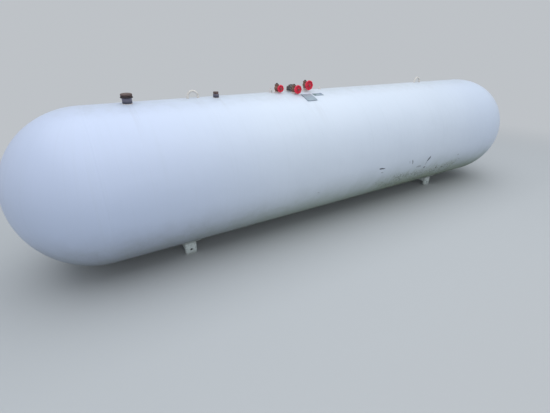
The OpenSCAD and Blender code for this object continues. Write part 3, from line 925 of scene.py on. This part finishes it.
def wander(turn, seed):
    """A slow change between -1 and 1 that closes on itself after a full turn."""
    return (sin(3 * turn + seed) + sin(7 * turn + 2.3 * seed) + sin(13 * turn + 4.1 * seed)) / 3


def weld_bead(bm, points, size, seed):
    """Lays a bead of that radius along a closed path on the tank."""
    steps = walk(points, SCALE_PITCH / 5)
    length = sum((b[0] - a[0]).length for a, b in zip(steps, steps[1:] + steps[:1]))
    scales = round(length / SCALE_PITCH)
    loops = []
    for i, (point, ahead, across) in enumerate(steps):
        off = across.cross(ahead)
        phase = (scales * i / len(steps)) % 1
        uneven = 0.12 * (sqrt(phase) - 0.6) + 0.10 * wander(2 * pi * i / len(steps), seed)
        r = size * (1 + uneven)
        loops.append([point + (across * cos(a) + off * sin(a)) * r for a in circle(8)])
    loft(bm, loops, ring=True)


def saddle(x, y, radius):
    """The line where an upright round bar meets the shell."""
    ring = []
    for a in circle(96):
        py = y + radius * sin(a)
        ring.append(Vector((x + radius * cos(a), py, AXIS_Z + sqrt(RADIUS * RADIUS - py * py))))
    return ring


def fitting_welds():
    """Beads round everything that is welded into the crown."""
    couplings = ("iron_port", "left_valve", "middle_valve", "right_valve", "gauge")
    boxes = [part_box("riser_pipe")] + [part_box(f"{name}_coupling") for name in couplings] + WHITE_PORTS
    bm = bmesh.new()
    for seed, (low, high) in enumerate(boxes):
        radius = (high.x - low.x) / 2
        ring = saddle((low.x + high.x) / 2, (low.y + high.y) / 2, radius)
        weld_bead(bm, ring, 1.5 * MM + radius * 0.05, seed)
    piece("fitting_weld_beads", bm, "fitting_paint", sharp=BEAD_SHARP)


def lug_welds(end):
    """Beads round both feet of a lifting lug."""
    low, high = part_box(f"{end}_lifting_lug")
    bar = (high.y - low.y) / 2
    bm = bmesh.new()
    for seed, x in enumerate((low.x + bar, high.x - bar)):
        weld_bead(bm, saddle(x, 0, bar), 2.6 * MM, seed)
    piece(f"{end}_lug_weld_beads", bm, "lug_paint", sharp=BEAD_SHARP)


fitting_welds()
for end in ENDS:
    lug_welds(end)
print("beads on the crown laid")

# %% [markdown]
# The pads and the legs are welded all round too. Their corners are taken from the solids' boxes,
# and the lines follow the shell, so a bead lies on the curved plate and not beside it.

# %% Welds of the pads and legs
PAD_LIFT = 6 * MM
LEG_BEND = 14 * MM
LEG_PLATE = 6.4 * MM


def near_and_far(node):
    """How near to the crown line and how far from it a solid reaches."""
    return sorted(abs(corner.y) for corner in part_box(node))


def pad_edge(node):
    """The outline of a curved pad where it meets the shell."""
    low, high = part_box(node)
    way = -1 if low.y > 0 else 1
    near, far = near_and_far(node)
    inner = way * (180 - math.degrees(asin(near / RADIUS)))
    outer = way * (180 - math.degrees(asin(far / (RADIUS + PAD_LIFT))))
    sweep = [inner + (outer - inner) * i / 24 for i in range(25)]
    return ([on_tank(low.x, degrees, 0.5 * MM) for degrees in sweep]
            + [on_tank(high.x, degrees, 0.5 * MM) for degrees in reversed(sweep)])


def leg_half(half, depth, bend, back):
    """Half of a formed leg's section as (sideways, inwards): a flange's end, then the bend."""
    line = [(half, depth)]
    for i in range(7):
        a = radians(90 * i / 6)
        line.append((half - bend + bend * cos(a), bend - bend * sin(a) + back))
    return line


def leg_edge(node):
    """The outline of a formed leg where it meets the pad: over the web and back inside it."""
    near, far = near_and_far(node)
    middle = middle_of(node)
    way = -1 if middle.y < 0 else 1
    half = width_of(node) / 2
    outside = leg_half(half, far - near, LEG_BEND, 0)
    inside = leg_half(half - LEG_PLATE, far - near, LEG_BEND - LEG_PLATE, LEG_PLATE)
    over_web = outside + [(-dx, back) for dx, back in reversed(outside)]
    back_inside = [(-dx, back) for dx, back in inside] + inside[::-1]
    line = []
    for dx, back in over_web + back_inside:
        y = way * (far - back)
        line.append(Vector((middle.x + dx, y, AXIS_Z - sqrt((RADIUS + PAD_LIFT) ** 2 - y * y))))
    return line


for end in ENDS:
    for side in ("front", "rear"):
        bm = bmesh.new()
        weld_bead(bm, pad_edge(f"{side}_{end}_pad"), 3.2 * MM, 1)
        weld_bead(bm, leg_edge(f"{side}_{end}_leg"), 3.0 * MM, 2)
        piece(f"{side}_{end}_leg_weld_beads", bm, "leg_paint", sharp=BEAD_SHARP)
print("beads on the legs laid")

# %% [markdown]
# ## The seams of the tank
# The heads and the rolled shell are joined by machine welds: wide, low beads with fine even
# scales that curve like the tail of the weld pool. They are laid as a flat arch whose height
# ripples along the seam, and they stand for the solids of the same name.

# %% Seam welds
SEAM_SCALE = 9 * MM
SEAM_RISE = 0.7 * MM
SEAM_WIDTH = width_of("left_head_weld")


def seam_bead(name, node, steps, ring):
    """A low arch with curved scales, along steps of (length so far, point, way along)."""
    loops = []
    for s, point, along in steps:
        off = off_tank(point)
        across = along.cross(off)
        loop = []
        for k in range(-8, 9):
            u = k / 8
            phase = ((s + 3 * MM * u * u) / SEAM_SCALE) % 1
            rise = SEAM_RISE * (1 - u * u) * (0.80 + 0.20 * sqrt(phase))
            loop.append(point + across * (u * SEAM_WIDTH / 2) + off * rise)
        loop += [point + across * (way * SEAM_WIDTH / 2) - off * MM for way in (1, -1)]
        loops.append(loop)
    bm = bmesh.new()
    loft(bm, loops, ring)
    piece(name, bm, "tank_paint", [node], sharp=BEAD_SHARP)


def head_seam(end):
    node = f"{end}_head_weld"
    count = round(2 * pi * RADIUS / SEAM_SCALE) * 4
    steps = []
    for i in range(count):
        degrees = 360 * i / count
        point = on_tank(middle_of(node).x, degrees)
        steps.append((radians(degrees) * RADIUS, point, off_tank(point).cross(RIGHT)))
    seam_bead(f"{end}_head_seam_bead", node, steps, ring=True)


def shell_seam(node):
    low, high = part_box(node)
    middle = middle_of(node)
    degrees = math.degrees(atan2(-middle.y, middle.z - AXIS_Z))
    count = round((high.x - low.x) / SEAM_SCALE) * 4
    steps = []
    for i in range(count + 1):
        point = on_tank(low.x + (high.x - low.x) * i / count, degrees)
        steps.append((i * SEAM_SCALE / 4, point, RIGHT))
    seam_bead("rolled_shell_seam_bead", node, steps, ring=False)


for end in ENDS:
    head_seam(end)
shell_seam("long_seam_weld")
print("seams", round(SEAM_WIDTH / MM, 1), "mm wide laid")

# %% [markdown]
# ## The shut-off valves
# Each valve is a brass globe valve. A hexagon screws into the coupling, the body swells round the
# seat, a second hexagon holds the outlet plug, and a boss towards the front takes the bonnet. The
# packing nut on the bonnet closes round the stem, which shows its thread below the handwheel.

# %% Valve bodies, bonnets and stems
# In mm: heights and thicknesses along an axis, radii, and distances across flats.
VALVE_HEX = 36
VALVE_HEX_H = 8
BARREL_R = 15.5
BONNET_FACE = 22
BONNET_END = 30
BONNET_HEX = 32
PACKING_FACE = 35
PACKING_END = 43
PACKING_HEX = 20
STEM_R = 4.5
STEM_PITCH = 1.6
HUB_R = 10
NUT_LOW = 62
NUT_TOP = 66
NUT_HEX = 14
BOSS = [(8, 16), (BONNET_FACE - 6, 16), (BONNET_FACE - 4, 15), (BONNET_FACE - 1, 14.5), (BONNET_FACE, 14)]


def valve_middle(side):
    """Where a valve's stem axis crosses its upright axis."""
    body = f"{side}_valve_body"
    front_to_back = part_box(body)[1].y - width_of(body) / 2
    return Vector((middle_of(body).x, front_to_back, middle_of(f"{side}_handwheel").z))


def globe_rings(radius, neck, low, high):
    """Rings of a round body between two necks, with a small fillet at each."""
    bulge = acos(neck / radius)
    rings = [(radius * sin(bulge * k / 10), radius * cos(bulge * k / 10)) for k in range(-10, 11)]
    return [(low, neck), (rings[0][0] - 1.5, neck), *rings, (rings[-1][0] + 1.5, neck), (high, neck)]


def valve_casting(side):
    middle = valve_middle(side)
    body = f"{side}_valve_body"
    foot, top = ((top_of(node).z - middle.z) / MM for node in (f"{side}_valve_coupling", body))
    rings = [((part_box(body)[0].z - middle.z) / MM, VALVE_HEX / 2 - 2), (foot, VALVE_HEX / 2 - 2)]
    rings += nut_rings(foot, foot + VALVE_HEX_H, VALVE_HEX)
    rings += globe_rings(width_of(body) / 2 / MM, BARREL_R, foot + VALVE_HEX_H, top - VALVE_HEX_H)
    rings += nut_rings(top - VALVE_HEX_H, top, VALVE_HEX)
    bm = lathe(middle, UP, rings)
    turned(bm, middle, FRONT, BOSS)
    piece(f"{side}_valve_casting", bm, "brass", [body])


def bonnet(side):
    neck = [(BONNET_END, 13.5), (BONNET_END + 0.8, 12.4), (BONNET_END + 2, 12), (PACKING_FACE - 0.6, 12),
            (PACKING_FACE, 11.4)]
    mouth = [(PACKING_END, 7.5), (PACKING_END - 0.8, 6.6), (PACKING_END - 0.8, STEM_R + 0.2)]
    bm = lathe(valve_middle(side), FRONT, nut_rings(BONNET_FACE, BONNET_END, BONNET_HEX) + neck,
               nut_rings(PACKING_FACE, PACKING_END, PACKING_HEX) + mouth)
    piece(f"{side}_bonnet_and_packing_nut", bm, "brass", [f"{side}_valve_bonnet"])


def stem_and_nut(side):
    middle = valve_middle(side)
    tip = [(NUT_TOP - 0.6, STEM_R - 0.6), (NUT_TOP - 0.2, 3)]
    bm = threaded(middle, FRONT, PACKING_END - 6, NUT_TOP - 1, STEM_R, STEM_PITCH, 0.6, 36, tip)
    piece(f"{side}_stem", bm, "brass", body=f"{side}_wheel")
    rings = nut_rings(NUT_LOW, NUT_TOP - 0.6, NUT_HEX) + [(NUT_TOP - 0.6, 5.6), (NUT_TOP - 1, 4.9)]
    piece(f"{side}_wheel_nut", lathe(middle, FRONT, rings), "cast_iron", body=f"{side}_wheel")


for side in VALVES:
    valve_casting(side)
    bonnet(side)
    stem_and_nut(side)
    print(side, "valve middle at", tuple(round(c, 4) for c in valve_middle(side)))

# %% [markdown]
# ## The handwheels
# A handwheel is one casting: a round rim with finger grooves, a dished web with four ribs, and a
# hub that the stem's nut clamps. Its profile is turned, and the grooves pull the rim inwards over
# short arcs, deepest at the very edge, which keeps the inside of the rim round.

# %% Handwheels
WHEEL_AT = 54
GROOVES = 8
GROOVE_DEPTH = 2.6
RIM_W = 9
RIM_HALF = 6
WEB_T = 4
RIBS = 4
RIB_W = 1.7
RIB_RISE = 3.4


def wheel_rings(radius):
    """Rings of a handwheel from the front of its hub over the rim to the back of its hub."""
    inner = radius - RIM_W
    dish = (HUB_R + inner) / 2
    edge = radius - RIM_HALF
    rings = [(8, HUB_R - 2), (7.6, HUB_R - 1), (6.8, HUB_R - 0.2), (1.8, HUB_R + 0.2),
             (0.5, HUB_R + 0.8), (-0.2, HUB_R + 2.2), (-0.8, dish), (-0.2, inner - 2.4),
             (0.6, inner - 0.9), (1.8, inner - 0.2), (4.4, inner + 0.2), (5.6, inner + 1)]
    for k in range(13):
        a = pi / 2 - pi * k / 12
        rings.append((RIM_HALF * sin(a), edge + RIM_HALF * cos(a)))
    return rings + [(-5.6, inner + 1), (-4.9, inner + 0.2), (-WEB_T, inner - 0.8), (-WEB_T, dish),
                    (-WEB_T, HUB_R + 0.8), (-WEB_T - 0.5, HUB_R), (-4.9, HUB_R - 0.6), (-5, HUB_R - 2)]


def groove_shape(radius):
    """Pulls the rim's outer edge inwards at each finger groove."""
    half = atan2(sqrt(2 * 0.26 * radius * GROOVE_DEPTH), radius)
    inner = radius - RIM_W + 1
    pitch = 2 * pi / GROOVES

    def pull(height, r, angle):
        off = abs((angle % pitch) - pitch / 2)
        if r <= inner or off >= half:
            return r
        depth = GROOVE_DEPTH * (0.5 + 0.5 * cos(pi * off / half))
        return r - depth * (r - inner) / (radius - inner)
    return pull


def rib(bm, at, angle, start, end):
    """A rounded rib that runs outwards over the web at an angle."""
    way = RIGHT * cos(angle) + FRONT.cross(RIGHT) * sin(angle)
    across = way.cross(FRONT)
    loops = []
    for k in range(9):
        share = k / 8
        reach = start + (end - start) * share
        tall = RIB_RISE * (0.86 + 0.14 * cos(2 * pi * share))
        flank = [(RIB_W * 0.55, 0.8 * tall), (RIB_W * 0.8, 0.35 * tall), (RIB_W, -1.6)]
        section = [(-u, v) for u, v in reversed(flank)] + [(0, tall)] + flank
        loops.append([at + way * reach * MM + across * u * MM + FRONT * v * MM for u, v in section])
    loft(bm, loops)


for side in VALVES:
    node = f"{side}_handwheel"
    radius = width_of(node) / 2 / MM
    at = valve_middle(side) + FRONT * WHEEL_AT * MM
    bm = lathe(at, FRONT, wheel_rings(radius), steps=160, shape=groove_shape(radius))
    for angle in circle(RIBS):
        rib(bm, at, angle, HUB_R - 0.5, radius - RIM_W + 0.8)
    piece(f"{node}_casting", bm, "red_paint", [node], f"{side}_wheel")
print("handwheels cast, the last", round(2 * radius, 1), "mm wide")

# %% [markdown]
# ## Plugs and caps
# The outlets and ports are closed by pipe plugs with square heads, the old port by a wide
# hexagonal iron plug, and the riser by a malleable iron cap. A banded skirt and a low crown mark
# the cap, and under it the last turns of the pipe's thread show.

# %% Plugs, cap and pipe thread
PIPE_PITCH = 2.2
PIPE_THREAD = 1.1


def plug_rings(collar_r, collar_h, flats, head_h):
    """A round collar with a broken edge, a neck and a square head with turned corners."""
    corner = flats / 2 / cos(pi / SQUARE)
    rings = [(-4, collar_r - 1), (0, collar_r - 1), (0.1, collar_r), (collar_h - 0.7, collar_r),
             (collar_h, collar_r - 0.8), (collar_h, corner - 0.6), (collar_h + 0.4, corner, flats)]
    return rings + nut_ends(collar_h, collar_h + head_h, flats, SQUARE)[1]


def pipe_cap():
    low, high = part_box("riser_cap")
    at = Vector((middle_of("riser_cap").x, middle_of("riser_cap").y, low.z))
    band = width_of("riser_cap") / 2 / MM
    barrel = band - 3
    top = (high.z - low.z) / MM
    bend = top - 7.5
    rings = [(3, 30.3), (0.6, 31), (0, band - 2), (0.6, band - 0.7), (1.6, band), (5.4, band),
             (6.4, band - 0.7), (7, barrel + 0.9), (8, barrel + 0.2), (9.5, barrel), (bend, barrel)]
    for k in range(7):
        a = k / 7 * pi / 2
        rings.append((bend + 7.5 * sin(a) ** 1.3, barrel * cos(a) ** 0.55))
    piece("riser_cap_casting", lathe(at, UP, rings + [(top, 3)], steps=96), "cast_iron", ["riser_cap"])
    pipe_r = width_of("riser_pipe") / 2 / MM + 0.1
    thread = threaded(at, UP, -9, 2, pipe_r, PIPE_PITCH, PIPE_THREAD, 96)
    piece("riser_pipe_thread", thread, "grey_pipe")


for side in VALVES:
    at = Vector((valve_middle(side).x, valve_middle(side).y, top_of(f"{side}_valve_body").z))
    bm = lathe(at, UP, plug_rings(15, 3, 14, 8), sides=SQUARE)
    piece(f"{side}_outlet_pipe_plug", bm, "cast_iron", [f"{side}_outlet_plug"])

bm = bmesh.new()
for low, high in WHITE_PORTS:
    at = Vector(((low.x + high.x) / 2, (low.y + high.y) / 2, high.z))
    turned(bm, at, UP, plug_rings(9, 3, 10, 7), sides=SQUARE)
piece("white_port_pipe_plugs", bm, "fitting_paint", ["white_port_plugs"])

at = top_of("iron_port_coupling")
head = (top_of("iron_port_plug").z - at.z) / MM
rings = [(-4, 13), (0, 13), (0.1, 17.4), (0.8, 18), (3.4, 18), (4, 17.4), *nut_rings(4, head, 36)]
piece("iron_port_hexagon_plug", lathe(at, UP, rings), "cast_iron", ["iron_port_plug"])
pipe_cap()
print("plugs and cap in place, the iron plug", round(head, 1), "mm high")

# %% [markdown]
# ## The gauge
# A round dial gauge stands on a street elbow. Its case has a rolled bezel, and behind the dusty
# glass lie a grey dial, a ring of graduations and a thin pointer on its pin.

# %% Gauge
case_low, case_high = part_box("gauge_case")
dial_low, dial_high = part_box("gauge_dial")
GAUGE_AT = Vector((middle_of("gauge_case").x, case_low.y, middle_of("gauge_case").z))
GAUGE_R = width_of("gauge_case") / 2 / MM
CASE_R = GAUGE_R - 1.5
CASE_BACK = -22
DIAL_R = width_of("gauge_dial") / 2 / MM
GLASS_R = DIAL_R + 0.1
MARKS = 30


def ahead_of_bezel(y):
    """How far a place is in front of the bezel, in mm. Behind it the number is negative."""
    return (GAUGE_AT.y - y) / MM


def bar(bm, degrees, start, end, width_start, width_end, low, high):
    """A thin flat bar on the dial, from one radius to another at an angle."""
    angle = radians(degrees)
    way = RIGHT * cos(angle) + UP * sin(angle)
    across = way.cross(FRONT)
    loops = []
    for reach, width in ((start, width_start), (end, width_end)):
        corners = ((-width / 2, low), (width / 2, low), (width / 2, high), (-width / 2, high))
        loops.append([GAUGE_AT + (way * reach + across * u + FRONT * v) * MM for u, v in corners])
    loft(bm, loops)


def dial_marks():
    """Graduations over three quarters of the dial, and the pointer near its lower end."""
    face = ahead_of_bezel(dial_low.y)
    bm = bmesh.new()
    for k in range(MARKS + 1):
        start, width = (0.70, 1.3) if k % 5 == 0 else (0.78, 0.7)
        bar(bm, 225 - 270 * k / MARKS, DIAL_R * start, DIAL_R * 0.88, width, width, face - 0.1, face + 0.12)
    bar(bm, 188, -DIAL_R * 0.22, DIAL_R * 0.68, 2.0, 0.7, face + 0.5, face + 0.9)
    turned(bm, GAUGE_AT, FRONT, [(face, 2.2), (face + 0.9, 2.2), (face + 1.3, 1.6)], steps=32)
    piece("gauge_marks_and_pointer", bm, "gauge_case")


well = ahead_of_bezel(dial_high.y)
rings = [(well, GLASS_R - 2), (well, GLASS_R), (-1.4, GLASS_R), (-0.4, GLASS_R + 0.5), (0, GLASS_R + 1.6),
         (-0.1, GAUGE_R - 2), (-0.6, GAUGE_R - 0.8), (-1.6, GAUGE_R), (-4.2, GAUGE_R), (-5, GAUGE_R - 0.4),
         (-5.2, CASE_R), (CASE_BACK + 3, CASE_R), (CASE_BACK + 1, CASE_R - 0.8), (CASE_BACK, CASE_R - 3)]
bm = lathe(GAUGE_AT, FRONT, rings, steps=96)
turned(bm, GAUGE_AT, FRONT, nut_rings(ahead_of_bezel(case_high.y), CASE_BACK + 0.5, 16))
piece("gauge_case_and_bezel", bm, "gauge_case", ["gauge_case"])
dial_marks()
print("gauge at", tuple(round(c, 3) for c in GAUGE_AT))

# %% [markdown]
# ## The plates
# The plates are bare here. Each has a pressed border that stiffens the thin metal, and is held
# by four small dome rivets in its corners.

# %% Plate borders and rivets
BRACKET_T = 3 * MM
PLATE_T = 1.6 * MM
CORNER_R = 4 * MM
BORDER_SECTION = ((-0.9, -0.4), (-0.6, 0.25), (0, 0.45), (0.6, 0.25), (0.9, -0.4))
RIVET_RINGS = ((-0.5, 1), (0.1, 1), (0.5, 0.86), (0.85, 0.55), (1.0, 0.2))


def as_degrees(arc):
    """The angle of a short way round the tank."""
    return math.degrees(arc / RADIUS)


def plate_details(node, lift, inset, rivet):
    low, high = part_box(node)
    near, far = (math.degrees(asin(-y / (RADIUS + lift))) for y in (high.y, low.y))
    left, right = low.x + inset + CORNER_R, high.x - inset - CORNER_R
    upper, lower = near + as_degrees(inset + CORNER_R), far - as_degrees(inset + CORNER_R)
    border = []
    for x, degrees, start in ((left, upper, 180), (right, upper, 270), (right, lower, 0), (left, lower, 90)):
        for k in range(7):
            a = radians(start + 15 * k)
            border.append(on_tank(x + CORNER_R * cos(a), degrees + as_degrees(CORNER_R) * sin(a), lift))
    loops = []
    for point, ahead, across in walk(border, 2 * MM):
        loops.append([point + (across * u + off_tank(point) * v) * MM for u, v in BORDER_SECTION])
    bm = bmesh.new()
    loft(bm, loops, ring=True)
    edge = inset * 0.5
    for x in (low.x + edge, high.x - edge):
        for degrees in (near + as_degrees(edge), far - as_degrees(edge)):
            point = on_tank(x, degrees, lift)
            rings = [(height, rivet * share) for height, share in RIVET_RINGS]
            turned(bm, point, off_tank(point), rings, steps=24)
    piece(f"{node}_border_and_rivets", bm, "plate_metal")


plate_details("data_plate", BRACKET_T + PLATE_T, 7 * MM, 2.2)
plate_details("small_plate", PLATE_T, 6 * MM, 1.8)
print("plates riveted")

# %% [markdown]
# ## Floor and light
# The tank stands on a plain pale floor under soft light, like the grey daylight of the
# photograph. A pale world lights it from all sides, a large soft lamp hangs above and a weaker
# one stands in front. The camera, mirrors and glass see the world as a plain pale backdrop, and
# away from the tank the floor fades into the same pale grey, so that there is no horizon.

# %% Floor
FLOOR_HALF = 30.0
FLOOR_COLOUR = (0.50, 0.505, 0.505)
FLOOR_ROUGHNESS = 0.9
FADE_FROM = 0.9
FADE_TO = 3.8
BACKDROP = (0.515, 0.542, 0.572)


def show_backdrop(bench, own, kind, end, share):
    """Lets rays from the camera, a mirror or glass see a plain colour in place of a node's own."""
    path = bench.node("ShaderNodeLightPath").outputs
    seen = 0.0
    for ray in ("Camera", "Glossy", "Transmission"):
        seen = bench.larger(seen, Signal(bench, path[f"Is {ray} Ray"]))
    plain = bench.node(kind, BACKDROP)
    shaders = [Signal(bench, node.outputs[0]) for node in (bench.tree.nodes[own], plain)]
    blend = bench.node("ShaderNodeMixShader", seen * share, *shaders)
    bench.tree.links.new(blend.outputs[0], bench.tree.nodes[end].inputs["Surface"])


def pale_floor():
    mesh = bpy.data.meshes.new("floor")
    h = FLOOR_HALF
    mesh.from_pydata([(-h, -h, 0), (h, -h, 0), (h, h, 0), (-h, h, 0)], [], [(0, 1, 2, 3)])
    obj = put("floor", mesh)
    floor = Finish("floor_grey")
    floor.feed(floor.shader["Base Color"], FLOOR_COLOUR)
    floor.feed(floor.shader["Roughness"], FLOOR_ROUGHNESS)
    x, y, _ = floor.split(floor.place())
    away = floor.away(floor.larger(abs(x) - (SEAM_X + RADIUS), 0.0), y)
    far_off = floor.fade(away, FADE_FROM, FADE_TO)
    show_backdrop(floor, "Principled BSDF", "ShaderNodeEmission", "Material Output", far_off)
    mesh.materials.append(floor.material)


pale_floor()
print("floor", 2 * FLOOR_HALF, "m wide")

# %% World and lamps
SKY_COLOUR = (0.80, 0.89, 1.0)
SKY_STRENGTH = 0.55
AIM = Vector((0, 0, 0.6))


def sky():
    """The world: sky light for the object, and a plain backdrop for the camera and mirrors."""
    world = bpy.data.worlds.new("overcast")
    bpy.context.scene.world = world
    world.use_nodes = True
    bench = Bench(world.node_tree)
    bench.feed_named(world.node_tree.nodes["Background"].inputs,
                     {"Color": SKY_COLOUR, "Strength": SKY_STRENGTH})
    show_backdrop(bench, "Background", "ShaderNodeBackground", "World Output", 1.0)


def lamp(name, at, size, watts, colour):
    data = bpy.data.lights.new(name, "AREA")
    data.shape = "RECTANGLE"
    data.size, data.size_y = size
    data.energy = watts
    data.color = colour
    obj = put(name, data)
    obj.location = at
    obj.rotation_euler = (AIM - Vector(at)).to_track_quat("-Z", "Y").to_euler()


sky()
lamp("top_soft_light", (0, -0.6, 5.5), (11, 8), 330, (0.93, 0.97, 1.0))
lamp("front_soft_light", (-2, -7, 3.2), (7, 4), 60, (0.95, 0.98, 1.0))
bpy.context.scene.view_settings.view_transform = "Standard"
